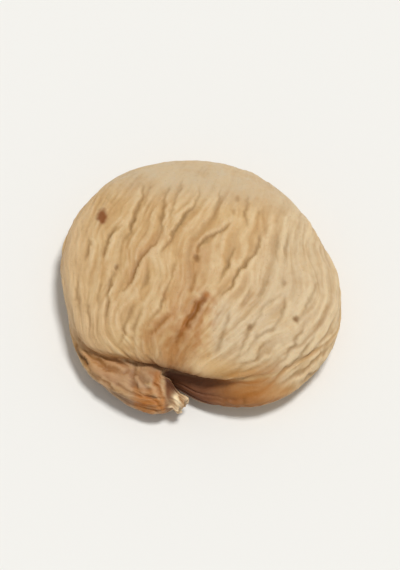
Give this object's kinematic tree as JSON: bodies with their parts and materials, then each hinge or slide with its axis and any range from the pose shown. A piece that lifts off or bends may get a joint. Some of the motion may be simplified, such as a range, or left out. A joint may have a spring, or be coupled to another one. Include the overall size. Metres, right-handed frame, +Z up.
{
  "type": "dried fig",
  "caption": "Dried fig pressed into a thin wrinkled disc, with its neck folded round under the lip of one edge and ending in a cut stem stub. It lies on its flat underside.",
  "frame": {"origin": "middle of the footprint, on the surface that the fig lies on", "axes": "+Z up, through the thin way of the pressed disc; -Y towards the edge with the folded neck and stem; +X to the right when that edge faces the viewer"},
  "size_m": [0.0546, 0.054, 0.0143],
  "materials": {
    "skin": "matte, wrinkled dried fruit skin, pale tan with honey brown in the folds"
  },
  "bodies": {
    "root": {"dried_fig": "skin"}
  },
  "joints": []
}
